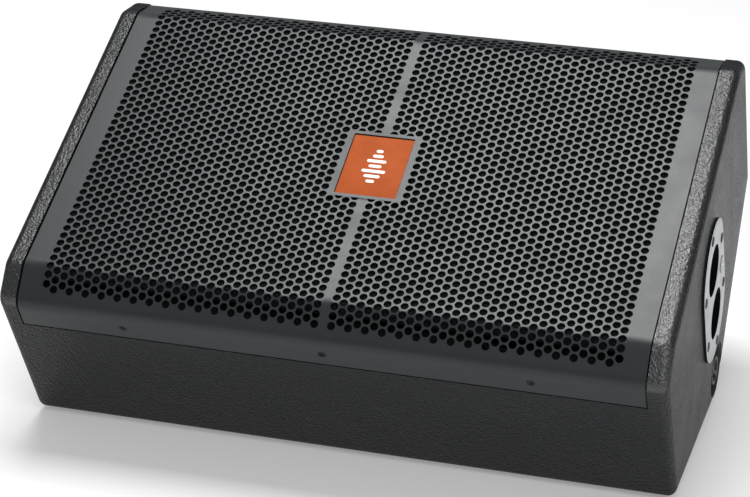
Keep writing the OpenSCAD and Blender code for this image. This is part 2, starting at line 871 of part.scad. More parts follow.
// Cast plate with a straight and a tilted stand pole socket
module pole_socket_casting() {
    root = -pole_bore_depth - 4;
    color("#b9bec1") tilted() difference() {
        union() {
            plate_stadium(side_x + plate_gasket_t, plate_face_x);
            for (i = [0, 1]) {
                pole_bore_place(i) translate([0, 0, root]) cylinder(h = -root - 12, r = 22);
                from_side([pole_u, pole_v[i]], plate_face_x - 14)
                    cylinder(h = 14 - plate_t / 2, r = tube_r);
            }
        }
        for (i = [0, 1]) {
            pole_bore_place(i) translate([0, 0, -pole_bore_depth])
                cylinder(h = pole_bore_depth + 10, r = pole_bore_r);
            from_side([pole_u, pole_v[i]], plate_face_x - flare_depth)
                cylinder(h = flare_depth + eps, r1 = pole_bore_r, r2 = flare_r);
        }
        plate_screw_holes(screw_r + pilot_gap);
        from_side(lock_pos, plate_face_x - 5) cylinder(h = 10, r = 5.2);
    }
}

module pole_plate_screws() {
    color("#1c1e1f") tilted() for (p = plate_screw_pos) from_side(p, plate_face_x)
        pan_screw(16, screw_r, plate_screw_head_r, 0.8);
}

// Set screw in the plate that clamps the pole
module pole_lock_screw() {
    color("#3a3e40") tilted() from_side(lock_pos, plate_face_x - plate_t - plate_gasket_t) difference() {
        union() {
            cylinder(h = plate_t + plate_gasket_t + 0.6, r = 5);
            translate([0, 0, plate_t + plate_gasket_t]) cylinder(h = 0.8, r = 8);
        }
        translate([0, 0, 1]) cylinder(h = 10, r = 2.9, $fn = 6);
    }
}

// ---- feet ----

// Places a shape on the base panel's outer face, drawn into the cabinet along +z
module each_foot() {
    for (x = [-foot_x, foot_x], s = foot_along)
        translate([x, -half_slope, -side_depth]) rotate([-base_angle, 0, 0])
            translate([0, s, 0]) children();
}

module rubber_feet() {
    color("#151617") tilted() each_foot() difference() {
        translate([0, 0, -foot_h]) cylinder(h = foot_h, r1 = foot_r - 2, r2 = foot_r);
        translate([0, 0, -foot_h - 1]) cylinder(h = 3.2, r = 6);
        translate([0, 0, -foot_h]) cylinder(h = foot_h + 1, r = foot_screw_r + pilot_gap);
    }
}

module foot_screws() {
    color("#8a8f92") tilted() each_foot() translate([0, 0, -foot_h + 2.2]) rotate([180, 0, 0])
        pan_screw(12, foot_screw_r, 4.6, 1.6);
}

// ---- handle ----

function handle_screw_pos() =
    let (ex = handle_size[0] / 2 + 6, ev = handle_size[1] / 2 - 12)
    [for (sx = [-1, 1], sv = [-1, 1]) [sx * ex, handle_v + sv * ev]];

module handle_cup() {
    w = handle_size[0];
    h = handle_size[1];
    flange_t = 2.5;
    color("#161819") tilted() translate([0, half_slope, handle_v]) difference() {
        union() {
            translate([-w / 2 - handle_flange, 0, -h / 2 - handle_flange + 3])
                cube([w + 2 * handle_flange, flange_t, h + 2 * handle_flange - 6]);
            translate([-w / 2, -handle_depth, -h / 2]) cube([w, handle_depth + 1, h]);
        }
        translate([-w / 2 + handle_wall, -handle_depth + handle_wall, -h / 2 + handle_wall])
            cube([w - 2 * handle_wall, handle_depth + 10, h - 2 * handle_wall]);
        for (p = handle_screw_pos()) translate([p[0], 5, p[1] - handle_v]) rotate([90, 0, 0])
            cylinder(h = 10, r = screw_r + pilot_gap);
    }
}

// Grip across the upper part of the cup
module handle_bar() {
    span = handle_size[0] - 2 * handle_wall;
    color("#0f1011") tilted()
        translate([-span / 2, half_slope - grip_r - 2, handle_v + handle_size[1] / 2 - 18])
            rotate([0, 90, 0]) cylinder(h = span, r = grip_r);
}

module handle_screws() {
    color("#33373a") tilted() for (p = handle_screw_pos())
        translate([p[0], half_slope + 2.5, p[1]]) rotate([-90, 0, 0]) pan_screw(12);
}

left_cheek();
right_cheek();
front_panel();
back_panel();
base_panel();
rear_base_panel();
baffle_board();
baffle_battens();
brace_struts();
grille();
grille_foam();
grille_screws();
badge_tray();
badge();
woofer_gasket();
woofer_frame();
woofer_surround();
woofer_cone();
woofer_dust_cap();
coil_former();
voice_coil();
woofer_spider();
woofer_top_plate();
woofer_magnet();
woofer_back_plate();
woofer_terminals();
woofer_screws();
horn_gasket();
horn();
horn_screws();
driver_front_plate();
driver_magnet();
phase_plug();
hf_diaphragm();
hf_suspension();
hf_voice_coil();
driver_rear_cap();
driver_bolts();
bass_ports();
crossover_board();
crossover_inductors();
crossover_capacitors();
crossover_resistors();
board_standoffs();
input_dish();
speaker_connector();
connector_screws();
pole_plate_gasket();
pole_socket_casting();
pole_plate_screws();
pole_lock_screw();
rubber_feet();
foot_screws();
handle_cup();
handle_bar();
handle_screws();
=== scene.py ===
import json
import math

import bmesh
import bpy
from mathutils import Matrix, Vector, noise
from mathutils.geometry import tessellate_polygon


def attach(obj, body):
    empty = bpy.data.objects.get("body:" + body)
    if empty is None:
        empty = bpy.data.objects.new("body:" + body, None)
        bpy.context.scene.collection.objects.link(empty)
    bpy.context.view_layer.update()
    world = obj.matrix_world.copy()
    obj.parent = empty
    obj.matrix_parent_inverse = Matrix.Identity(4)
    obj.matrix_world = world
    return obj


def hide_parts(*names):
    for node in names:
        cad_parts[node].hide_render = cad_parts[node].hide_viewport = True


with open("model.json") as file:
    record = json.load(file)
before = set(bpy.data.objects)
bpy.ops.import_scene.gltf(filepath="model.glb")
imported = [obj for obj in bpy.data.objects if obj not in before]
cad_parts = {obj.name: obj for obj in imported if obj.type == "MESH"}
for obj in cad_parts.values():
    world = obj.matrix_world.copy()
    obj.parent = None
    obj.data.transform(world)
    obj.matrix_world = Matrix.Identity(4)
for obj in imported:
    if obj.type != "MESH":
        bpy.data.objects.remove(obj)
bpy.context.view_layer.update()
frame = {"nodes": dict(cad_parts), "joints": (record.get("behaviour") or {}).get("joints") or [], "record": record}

MM = 0.001
nodes = frame["nodes"]

# ---- the wedge's own axes: x across, u up the slope of the face, v out of the face ----

ACROSS = Vector((1, 0, 0))
OUT = Vector(frame["joints"][0]["axis"]).normalized()
SLOPE = OUT.cross(ACROSS)
AXES = (ACROSS, SLOPE, OUT)


def spans(node, origin=Vector((0, 0, 0))):
    """Lowest and highest x, u and v of a CAD node."""
    found = []
    for d in AXES:
        p = [(v.co - origin).dot(d) for v in nodes[node].data.vertices]
        found.append((min(p), max(p)))
    return found


_, grille_u, grille_v = spans("grille")
ORIGIN = SLOPE * (grille_u[0] + grille_u[1]) / 2 + OUT * grille_v[1]


def at(x, u, v):
    return ORIGIN + ACROSS * x + SLOPE * u + OUT * v


def direction(x, u, v):
    return ACROSS * x + SLOPE * u + OUT * v


grille_box = spans("grille", ORIGIN)
cheek_box = spans("right_cheek", ORIGIN)
badge_box = spans("badge", ORIGIN)
tray_box = spans("badge_tray", ORIGIN)
foam_box = spans("grille_foam", ORIGIN)
dish_box = spans("input_dish", ORIGIN)
gasket_box = spans("pole_plate_gasket", ORIGIN)

SHEET_T = -tray_box[2][1]
HALF_SLOPE = grille_box[1][1]
LIP_V = grille_box[2][0]
HALF_W = grille_box[0][1]
BEND_U = 158.5 * MM
STRIP_ANGLE = math.radians(29)
NOSE_R = 15 * MM
BEND_R = 5 * MM
NOSE_V = -(HALF_SLOPE - BEND_U) * math.tan(STRIP_ANGLE)
CHEEK_RISE = cheek_box[2][1]
SIDE_X = cheek_box[0][1]
CHEEK_T = SIDE_X - cheek_box[0][0]
VALLEY_V = -270.06 * MM
SIDE_V = -173 * MM
EDGE_R = 8 * MM
CORNER_R = 10 * MM


# ---- materials ----


def hexc(text):
    """Linear colour of an sRGB hex code."""
    out = []
    for i in (0, 2, 4):
        c = int(text[i : i + 2], 16) / 255
        out.append(c / 12.92 if c <= 0.04045 else ((c + 0.055) / 1.055) ** 2.4)
    return (*out, 1.0)


def scaled(c, k):
    return (*[min(1.0, x * k) for x in c[:3]], 1.0)


class Surface:
    """A Principled material whose colour, roughness and height are built up from procedural layers."""

    def __init__(self, name, color, rough, metal=0.0, spec=0.5):
        self.mat = bpy.data.materials.new(name)
        self.mat.use_nodes = True
        self.tree = self.mat.node_tree
        self.bsdf = self.tree.nodes["Principled BSDF"]
        self.bsdf.inputs["Base Color"].default_value = color
        self.bsdf.inputs["Roughness"].default_value = rough
        self.bsdf.inputs["Metallic"].default_value = metal
        self.bsdf.inputs["Specular IOR Level"].default_value = spec
        self.color = color
        self.rough = rough
        coords = self.node("ShaderNodeTexCoord")
        turn = self.node("ShaderNodeMapping")
        turn.inputs["Rotation"].default_value = (-math.atan2(SLOPE.z, SLOPE.y), 0, 0)
        self.join(coords.outputs["Object"], turn.inputs["Vector"])
        self.coords = turn.outputs["Vector"]
        self.normal = None

    def node(self, kind, **facts):
        n = self.tree.nodes.new(kind)
        for k, v in facts.items():
            setattr(n, k, v)
        return n

    def join(self, a, b):
        self.tree.links.new(a, b)

    def stretched(self, scale):
        m = self.node("ShaderNodeMapping")
        m.inputs["Scale"].default_value = scale
        self.join(self.coords, m.inputs["Vector"])
        return m.outputs["Vector"]

    def noise(self, scale, detail=3.0, rough=0.5, distortion=0.0, coords=None):
        n = self.node("ShaderNodeTexNoise")
        n.inputs["Scale"].default_value = scale
        n.inputs["Detail"].default_value = detail
        n.inputs["Roughness"].default_value = rough
        n.inputs["Distortion"].default_value = distortion
        self.join(coords or self.coords, n.inputs["Vector"])
        return n.outputs["Fac"]

    def cells(self, scale):
        n = self.node("ShaderNodeTexVoronoi", feature="F1")
        n.inputs["Scale"].default_value = scale
        self.join(self.coords, n.inputs["Vector"])
        return n.outputs["Distance"]

    def wave(self, pitch, axis, distortion):
        """Parallel bands, pitch apart across the axis; the node's own bands repeat 10 / pi times a metre."""
        n = self.node("ShaderNodeTexWave", wave_type="BANDS", bands_direction=axis, wave_profile="SIN")
        n.inputs["Scale"].default_value = math.pi / (10 * pitch)
        n.inputs["Distortion"].default_value = distortion
        n.inputs["Detail Scale"].default_value = 1.0
        self.join(self.coords, n.inputs["Vector"])
        return n.outputs["Fac"]

    def ranged(self, value, lo, hi, to_lo, to_hi):
        n = self.node("ShaderNodeMapRange")
        n.inputs["From Min"].default_value = lo
        n.inputs["From Max"].default_value = hi
        n.inputs["To Min"].default_value = to_lo
        n.inputs["To Max"].default_value = to_hi
        self.join(value, n.inputs["Value"])
        return n.outputs["Result"]

    def multiplied(self, a, b):
        n = self.node("ShaderNodeMath", operation="MULTIPLY")
        self.join(a, n.inputs[0])
        self.join(b, n.inputs[1])
        return n.outputs[0]

    def ramp(self, value, stops):
        n = self.node("ShaderNodeValToRGB")
        ramp = n.color_ramp
        while len(ramp.elements) < len(stops):
            ramp.elements.new(0.5)
        for e, (pos, color) in zip(ramp.elements, stops):
            e.position = pos
            e.color = color
        self.join(value, n.inputs["Fac"])
        return n.outputs["Color"]

    def mottle(self, value, dark=0.85, light=1.15, lo=0.35, hi=0.65):
        """Base colour that varies with a value between darker and lighter."""
        stops = [(lo, scaled(self.color, dark)), (hi, scaled(self.color, light))]
        self.join(self.ramp(value, stops), self.bsdf.inputs["Base Color"])

    def polish(self, value, spread, lo=0.3, hi=0.7):
        """Roughness that varies by spread round its middle."""
        r = self.ranged(value, lo, hi, self.rough - spread, self.rough + spread)
        self.join(r, self.bsdf.inputs["Roughness"])

    def dulled(self, stops):
        """Gloss that fades as the surface is seen more along it, as on a coat that shades itself."""
        weight = self.node("ShaderNodeLayerWeight")
        weight.inputs["Blend"].default_value = 0.5
        spec = self.ramp(weight.outputs["Facing"], [(facing, (v, v, v, 1)) for facing, v in stops])
        self.join(spec, self.bsdf.inputs["Specular IOR Level"])

    def bump(self, value, strength, distance):
        n = self.node("ShaderNodeBump")
        n.inputs["Strength"].default_value = strength
        n.inputs["Distance"].default_value = distance
        self.join(value, n.inputs["Height"])
        if self.normal is not None:
            self.join(self.normal, n.inputs["Normal"])
        self.normal = n.outputs["Normal"]
        self.join(self.normal, self.bsdf.inputs["Normal"])

    def painted_edge_highlight(self, radius, light, amount):
        """Painted highlight: a lighter colour where the surface turns a corner, in patches."""
        bevel = self.node("ShaderNodeBevel", samples=4)
        bevel.inputs["Radius"].default_value = radius
        geo = self.node("ShaderNodeNewGeometry")
        dot = self.node("ShaderNodeVectorMath", operation="DOT_PRODUCT")
        self.join(bevel.outputs["Normal"], dot.inputs[0])
        self.join(geo.outputs["Normal"], dot.inputs[1])
        edge = self.ranged(dot.outputs["Value"], 0.995, 0.86, 0.0, amount)
        patch = self.ranged(self.noise(90, 5, 0.65), 0.5, 0.62, 0.0, 1.0)
        fac = self.multiplied(edge, patch)
        mix = self.node("ShaderNodeMix", data_type="RGBA")
        base = self.bsdf.inputs["Base Color"]
        if base.links:
            self.join(base.links[0].from_socket, mix.inputs["A"])
        else:
            mix.inputs["A"].default_value = self.color
        mix.inputs["B"].default_value = light
        self.join(fac, mix.inputs["Factor"])
        self.join(mix.outputs["Result"], base)


def textured_paint():
    s = Surface("cabinet_paint", hexc("17191b"), 0.26)
    s.dulled([(0.22, 0.92), (0.42, 0.2), (0.73, 0.03)])
    s.mottle(s.noise(520, 3, 0.6), 0.7, 1.4)
    s.polish(s.noise(22, 4, 0.6), 0.04)
    s.bump(s.noise(430, 2, 0.5), 1.0, 1.2 * MM)
    s.bump(s.noise(1100, 2, 0.5), 0.6, 0.3 * MM)
    # painted highlight along the cabinet's rounded edges, in the grey of the lit side
    s.painted_edge_highlight(1.2 * MM, hexc("55585a"), 0.3)
    return s.mat


def baffle_paint():
    s = Surface("baffle_paint", hexc("17181a"), 0.75)
    s.mottle(s.noise(60, 5, 0.6), 0.8, 1.3)
    s.bump(s.noise(300, 4, 0.6), 0.35, 0.4 * MM)
    return s.mat


def plywood():
    s = Surface("raw_plywood", hexc("b08a5a"), 0.7)
    grain = s.noise(18, 6, 0.6, 0.4, s.stretched((1.0, 14.0, 14.0)))
    s.join(
        s.ramp(grain, [(0.3, hexc("8f6a40")), (0.5, hexc("b08a5a")), (0.72, hexc("c8a675"))]),
        s.bsdf.inputs["Base Color"],
    )
    s.bump(grain, 0.3, 0.3 * MM)
    return s.mat


def grille_coat():
    s = Surface("grille_coat", hexc("262a2c"), 0.36, spec=0.37)
    s.mottle(s.noise(9, 4, 0.55), 0.95, 1.05)
    s.polish(s.noise(35, 5, 0.6), 0.04)
    s.bump(s.noise(1300, 3, 0.6), 0.15, 0.12 * MM)
    s.bump(s.noise(30, 2), 0.03, 1.0 * MM)
    return s.mat


def open_foam():
    s = Surface("foam", hexc("08090a"), 0.95, spec=0.08)
    pores = s.cells(520)
    s.mottle(pores, 0.35, 2.6, 0.12, 0.8)
    s.bump(pores, 0.9, 1.2 * MM)
    s.bump(s.noise(160, 4, 0.6), 0.5, 1.5 * MM)
    return s.mat


def cast_metal(name, color, rough, grain, depth, metal=1.0, edge_highlight=None):
    s = Surface(name, hexc(color), rough, metal)
    s.mottle(s.noise(28, 5, 0.6), 0.9, 1.08)
    s.polish(s.noise(60, 5, 0.65), 0.09)
    s.bump(s.noise(grain, 3, 0.6), 0.3, depth * MM)
    # a painted highlight on the turned edges, where a colour for it is given
    if edge_highlight:
        s.painted_edge_highlight(0.8 * MM, hexc(edge_highlight), 0.6)
    return s.mat


def brushed_metal(name, color, rough=0.32, metal=1.0):
    s = Surface(name, hexc(color), rough, metal)
    lines = s.noise(70, 6, 0.7, 0.0, s.stretched((1.0, 1.0, 18.0)))
    s.mottle(lines, 0.82, 1.12)
    s.polish(lines, 0.08)
    s.bump(lines, 0.12, 0.08 * MM)
    return s.mat


def moulded(name, color, rough, grain=1100, depth=0.12, spec=0.5):
    s = Surface(name, hexc(color), rough, spec=spec)
    s.mottle(s.noise(40, 5, 0.6), 0.88, 1.12)
    s.polish(s.noise(24, 4, 0.6), 0.06)
    s.bump(s.noise(grain, 2, 0.5), 0.4, depth * MM)
    return s.mat


def cloth(name, color, pitch=0.9):
    s = Surface(name, hexc(color), 0.85, spec=0.25)
    weave = s.multiplied(s.wave(pitch * MM, "X", 0.3), s.wave(pitch * MM, "Y", 0.3))
    s.mottle(weave, 0.6, 1.25, 0.0, 0.7)
    s.bump(weave, 0.6, 0.3 * MM)
    s.bump(s.noise(500, 4, 0.6), 0.3, 0.2 * MM)
    return s.mat


def winding(name, color):
    s = Surface(name, hexc(color), 0.3, 0.9)
    turns = s.wave(0.6 * MM, "Z", 0.05)
    s.mottle(turns, 0.45, 1.1, 0.0, 0.6)
    s.bump(turns, 0.8, 0.25 * MM)
    s.polish(s.noise(50, 3), 0.07)
    return s.mat


def paper(name, color):
    s = Surface(name, hexc(color), 0.8, spec=0.3)
    fibres = s.noise(240, 6, 0.7, 1.2)
    s.mottle(fibres, 0.7, 1.35)
    s.bump(fibres, 0.5, 0.3 * MM)
    return s.mat


def enamel():
    s = Surface("badge_enamel", hexc("a84e20"), 0.5, spec=0.06)
    s.mottle(s.noise(45, 4, 0.6), 0.93, 1.06)
    s.polish(s.noise(120, 4, 0.6), 0.06)
    s.bump(s.noise(700, 3, 0.6), 0.12, 0.12 * MM)
    return s.mat


def emblem_white():
    s = Surface("emblem_white", hexc("f1eee8"), 0.4)
    s.mottle(s.noise(300, 4, 0.6), 0.93, 1.03)
    s.bump(s.noise(800, 3, 0.6), 0.12, 0.1 * MM)
    return s.mat


MATERIALS = {
    "cabinet_paint": textured_paint(),
    "baffle_paint": baffle_paint(),
    "raw_plywood": plywood(),
    "grille_coat": grille_coat(),
    "foam": open_foam(),
    # the screws get a painted highlight round their rims
    "black_screws": cast_metal("black_screws", "2a2d2f", 0.38, 1500, 0.06, edge_highlight="8a8f92"),
    "badge_enamel": enamel(),
    # near-black rubber; the gasket under the pole plate is a real part whose dark edge also serves as painted
    # shade round the plate
    "gasket_rubber": moulded("gasket_rubber", "131414", 0.8, 700, 0.15, 0.3),
    "basket_coat": cast_metal("basket_coat", "2b2e30", 0.5, 600, 0.2, 0.4),
    "surround_cloth": cloth("surround_cloth", "17181a"),
    "cone_paper": paper("cone_paper", "242628"),
    "former_film": brushed_metal("former_film", "b98d4a", 0.4, 0.2),
    "copper_wire": winding("copper_wire", "b5652b"),
    "spider_cloth": cloth("spider_cloth", "a5874f", 0.7),
    "plated_steel": brushed_metal("plated_steel", "8f9497"),
    "ferrite": cast_metal("ferrite", "303234", 0.6, 500, 0.25, 0.3),
    "terminal_plastic": moulded("terminal_plastic", "7a1f1d", 0.45),
    "horn_plastic": moulded("horn_plastic", "1a1c1d", 0.42, 900, 0.15),
    "bare_alloy": brushed_metal("bare_alloy", "b4b8ba", 0.35),
    "board_laminate": moulded("board_laminate", "2d5a34", 0.35, 600, 0.1),
    "capacitor_film": moulded("capacitor_film", "c4a93a", 0.3, 900, 0.05),
    "resistor_ceramic": moulded("resistor_ceramic", "dcd8cc", 0.7, 800, 0.2),
    "dish_plastic": moulded("dish_plastic", "101112", 0.48, 1000, 0.15),
    "connector_plastic": moulded("connector_plastic", "141516", 0.34, 1200, 0.08),
    "grip_rubber": moulded("grip_rubber", "0e0f10", 0.7, 500, 0.3, 0.35),
    "cast_alloy": cast_metal("cast_alloy", "afb3b6", 0.42, 700, 0.12, 0.55),
    # near-black and almost without gloss: painted shade for the socket casting's sides and bores
    "casting_painted_shade": moulded("casting_painted_shade", "050606", 0.8, 700, 0.15, 0.04),
    "foot_rubber": moulded("foot_rubber", "141516", 0.82, 450, 0.35, 0.3),
}

slot_of = {p["node"]: p["material_slot"] for p in frame["record"]["subparts"]}
# width of the eased edges of the CAD pieces that show, in mm
EASED = {
    "handle_cup": 0.8, "handle_bar": 0.8, "pole_socket_casting": 0.35, "pole_plate_gasket": 0.2,
    "input_dish": 0.5, "speaker_connector": 0.4, "rubber_feet": 0.8,
    "grille_screws": 0.12, "connector_screws": 0.12, "pole_plate_screws": 0.12, "pole_lock_screw": 0.12,
    "foot_screws": 0.12, "handle_screws": 0.12,
}

for name, o in nodes.items():
    o.data.materials.clear()
    o.data.materials.append(MATERIALS[slot_of[name]])
    weld = o.modifiers.new("weld", "WELD")
    weld.merge_threshold = 0.002 * MM
    if name in EASED:
        bevel = o.modifiers.new("eased_edges", "BEVEL")
        bevel.width = EASED[name] * MM
        bevel.segments = 2
        bevel.limit_method = "ANGLE"
        bevel.angle_limit = math.radians(40)
        bevel.harden_normals = False
    split = o.modifiers.new("crisp_corners", "EDGE_SPLIT")
    split.split_angle = math.radians(34)
    for p in o.data.polygons:
        p.use_smooth = True


# the socket casting keeps bare alloy only on its face; its sides and bores are painted near-black as shade
casting = nodes["pole_socket_casting"]
casting.data.materials.append(MATERIALS["casting_painted_shade"])
face_x = max(v.co.x for v in casting.data.vertices)
for p in casting.data.polygons:
    p.material_index = 0 if p.normal.x > 0.95 and p.center.x > face_x - 0.1 * MM else 1

# ---- pieces ----


def finish_piece(name, bm, material, replaced=()):
    me = bpy.data.meshes.new(name)
    bmesh.ops.recalc_face_normals(bm, faces=bm.faces[:])
    bm.to_mesh(me)
    bm.free()
    for p in me.polygons:
        p.use_smooth = True
    me.set_sharp_from_angle(angle=math.radians(35))
    o = bpy.data.objects.new(name, me)
    bpy.context.scene.collection.objects.link(o)
    me.materials.append(material)
    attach(o, "cabinet")
    if replaced:
        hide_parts(*replaced)
    return o


# Outline helpers in the (u, v) plane, each point a 2-D Vector


def unit(v):
    return v / v.length


def right_of(v):
    return Vector((v.y, -v.x))


def moved_corner(a, b, c, t):
    n1, n2 = right_of(unit(b - a)), right_of(unit(c - b))
    return b + t * (n1 + n2) / (1 + n1.dot(n2))


def inset(points, t):
    n = len(points)
    return [moved_corner(points[i - 1], points[i], points[(i + 1) % n], t) for i in range(n)]


def fillet(a, b, c, r, steps):
    d1, d2 = unit(a - b), unit(c - b)
    half = math.acos(max(-1, min(1, d1.dot(d2)))) / 2
    centre = b + unit(d1 + d2) * r / math.sin(half)
    start = b + d1 * r / math.tan(half) - centre
    way = 1 if (b - a).cross(c - b) > 0 else -1
    sweep = way * (math.pi - 2 * half)
    out = []
    for k in range(steps + 1):
        t = sweep * k / steps
        turned = (start.x * math.cos(t) - start.y * math.sin(t), start.x * math.sin(t) + start.y * math.cos(t))
        out.append(centre + Vector(turned))
    return out


def rounded(points, radii, steps):
    n = len(points)
    out = []
    for i in range(n):
        out += fillet(points[i - 1], points[i], points[(i + 1) % n], radii[i], steps)
    return out


def spoke(r, a):
    return Vector((r * math.cos(a), r * math.sin(a)))


def circle(centre, r, n):
    return [centre + spoke(r, 2 * math.pi * k / n) for k in range(n)]


def stadium(centre, half, r, n):
    """Round-ended slot along the second axis."""
    end = Vector((0, half))
    out = [centre + end + spoke(r, math.pi * k / n) for k in range(n + 1)]
    return out + [centre - end - spoke(r, math.pi * k / n) for k in range(n + 1)]


def rounded_rect(hx, hy, r, n):
    out = []
    for qx, qy, a0 in ((1, 1, 0), (-1, 1, 90), (-1, -1, 180), (1, -1, 270)):
        middle = Vector((qx * (hx - r), qy * (hy - r)))
        out += [middle + spoke(r, math.radians(a0 + 90 * k / n)) for k in range(n + 1)]
    return out


# ---- cheeks: the side boards, rounded all along their outer edge ----

cheek_nose_v = NOSE_V + CHEEK_RISE / math.cos(STRIP_ANGLE)
cheek_bend_u = BEND_U + CHEEK_RISE * (1 - math.cos(STRIP_ANGLE)) / math.sin(STRIP_ANGLE)
cheek_line = [
    Vector((-HALF_SLOPE, SIDE_V)),
    Vector((-HALF_SLOPE, cheek_nose_v)),
    Vector((-cheek_bend_u, CHEEK_RISE)),
    Vector((cheek_bend_u, CHEEK_RISE)),
    Vector((HALF_SLOPE, cheek_nose_v)),
    Vector((HALF_SLOPE, SIDE_V)),
    Vector((0, VALLEY_V)),
]
cheek_radii = [CORNER_R, NOSE_R, NOSE_R, NOSE_R, NOSE_R, CORNER_R, CORNER_R]


def prism(outline, x0, x1):
    """Closed solid with a (u, v) outline between two x."""
    bm = bmesh.new()
    ends = [[bm.verts.new(at(x, p.x, p.y)) for p in outline] for x in (x0, x1)]
    n = len(outline)
    for i in range(n):
        j = (i + 1) % n
        bm.faces.new((ends[0][i], ends[0][j], ends[1][j], ends[1][i]))
    bm.faces.new(ends[0][::-1])
    bm.faces.new(ends[1])
    bmesh.ops.recalc_face_normals(bm, faces=bm.faces[:])
    me = bpy.data.meshes.new("cutter")
    bm.to_mesh(me)
    bm.free()
    o = bpy.data.objects.new("cutter", me)
    bpy.context.scene.collection.objects.link(o)
    return o


def carved(bm, cutters):
    """The bmesh with the cutters taken out of it; the cutters are deleted."""
    bmesh.ops.recalc_face_normals(bm, faces=bm.faces[:])
    me = bpy.data.meshes.new("blank")
    bm.to_mesh(me)
    bm.free()
    o = bpy.data.objects.new("blank", me)
    bpy.context.scene.collection.objects.link(o)
    for c in cutters:
        m = o.modifiers.new("cut", "BOOLEAN")
        m.object = c
        m.solver = "EXACT"
    bpy.context.view_layer.update()
    cut = bpy.data.meshes.new_from_object(o.evaluated_get(bpy.context.evaluated_depsgraph_get()))
    made = bmesh.new()
    made.from_mesh(cut)
    for x in [o, *cutters]:
        bpy.data.objects.remove(x)
    bpy.data.meshes.remove(cut)
    return made


def skinned(bm, loops):
    """Joins each loop of vertices to the next one with a band of faces."""
    n = len(loops[0])
    for a, b in zip(loops, loops[1:]):
        for i in range(n):
            j = (i + 1) % n
            bm.faces.new((a[i], a[j], b[j], b[i]))


def cheek(name, side, holes):
    bm = bmesh.new()
    corner_steps, edge_steps = 8, 12
    least_r = 0.6 * MM
    loops = []
    levels = [(CHEEK_T, 0.0)] + [
        (EDGE_R * (1 - math.sin(a)), EDGE_R * (1 - math.cos(a)))
        for a in [math.pi / 2 * k / edge_steps for k in range(edge_steps + 1)]
    ]
    for depth, t in levels:
        radii = [max(r - t, least_r) for r in cheek_radii]
        pts = rounded(inset(cheek_line, t), radii, corner_steps)
        loops.append([bm.verts.new(at(side * (SIDE_X - depth), p.x, p.y)) for p in pts])
    skinned(bm, loops)
    bm.faces.new(loops[0])
    bm.faces.new(loops[-1])
    if holes:
        past = 5 * MM
        bm = carved(bm, [prism(h, SIDE_X - CHEEK_T - past, SIDE_X + past) for h in holes])
    finish_piece(name, bm, MATERIALS["cabinet_paint"], replaced=[name.replace("_board", "")])


dish_r = (dish_box[1][1] - dish_box[1][0]) / 2
dish_centre = Vector(((dish_box[1][0] + dish_box[1][1]) / 2, dish_box[2][1] - dish_r))
plate_centre = Vector(((gasket_box[1][0] + gasket_box[1][1]) / 2, (gasket_box[2][0] + gasket_box[2][1]) / 2))
socket_cut = stadium(plate_centre, 30.5 * MM, 28 * MM, 24)
dish_cut = circle(dish_centre, dish_r + 0.3 * MM, 72)
cheek("left_cheek_board", -1, [])
cheek("right_cheek_board", 1, [socket_cut, dish_cut])


# ---- perforated grille, laid out flat as (x, s) with s the length along its folded profile ----

PITCH = 8.7 * MM
ROW = PITCH / 2
COL = PITCH * math.sqrt(3) / 2
HOLE_R = 3.62 * MM
LAST_COL = 34
LAST_ROW = 42
RING = 16
BADGE_COLS = 4
BADGE_ROWS = 9
SCREW_X = (-183 * MM, 0.0, 183 * MM)
SCREW_SPANS = [(-25.5 * COL, -23 * COL), (-1 * COL, 1 * COL), (23 * COL, 25.5 * COL)]
SCREW_HOLE_R = 4.3 * MM
SCREW_DEPTH = 33 * MM
SCREW_BAND = 13 * MM
WINDOW_GAP = 0.5 * MM
NEAR = 1e-6


class Profile:
    """The folded sheet's outer face as a path through (u, v), measured from the middle of the face."""

    def __init__(self):
        self.parts = []
        corner = Vector((BEND_U, 0.0))
        nose = Vector((HALF_SLOPE, NOSE_V))
        end = Vector((HALF_SLOPE, LIP_V))
        at_s, here, heading = 0.0, Vector((0.0, 0.0)), 0.0
        bends = ((corner, BEND_R, STRIP_ANGLE), (nose, NOSE_R, math.pi / 2 - STRIP_ANGLE), (end, 0, 0))
        for target, r, turn in bends:
            back = r * math.tan(turn / 2)
            length = (target - here).length - back
            self.parts.append(("line", at_s, at_s + length, here.copy(), heading))
            at_s += length
            here = here + Vector((math.cos(heading), -math.sin(heading))) * length
            if r:
                centre = here - Vector((math.sin(heading), math.cos(heading))) * r
                self.parts.append(("arc", at_s, at_s + r * turn, centre, heading, r))
                at_s += r * turn
                heading += turn
                here = centre + Vector((math.sin(heading), math.cos(heading))) * r
        self.length = at_s

    def point(self, s):
        """(u, v, outward normal) at s, which may be negative for the front half."""
        sign, s = (-1, -s) if s < 0 else (1, s)
        for part in self.parts:
            if s <= part[2] + 1e-9 or part is self.parts[-1]:
                break
        if part[0] == "line":
            h = part[4]
            p = part[3] + Vector((math.cos(h), -math.sin(h))) * (s - part[1])
        else:
            h = part[4] + (s - part[1]) / part[5]
            p = part[3] + Vector((math.sin(h), math.cos(h))) * part[5]
        return sign * p.x, p.y, Vector((sign * math.sin(h), math.cos(h)))


profile = Profile()
nose_start, nose_end = profile.parts[3][1:3]
nose_lines = [nose_start + (nose_end - nose_start) * k / 8 for k in range(9)]
beyond = nose_lines + [nose_lines[-1] + SCREW_BAND, profile.length]
screw_s = nose_lines[-1] + (SCREW_DEPTH + NOSE_V) - NOSE_R * math.tan((math.pi / 2 - STRIP_ANGLE) / 2)
window_x, window_u = badge_box[0][1] + WINDOW_GAP, badge_box[1][1] + WINDOW_GAP


def fill_between(face, outer, hole):
    """Triangles between an outline and a hole inside it."""
    flat = outer + hole
    for tri in tessellate_polygon([[Vector((p[0], p[1], 0)) for p in ring] for ring in (outer, hole)]):
        face([flat[i] for i in tri])


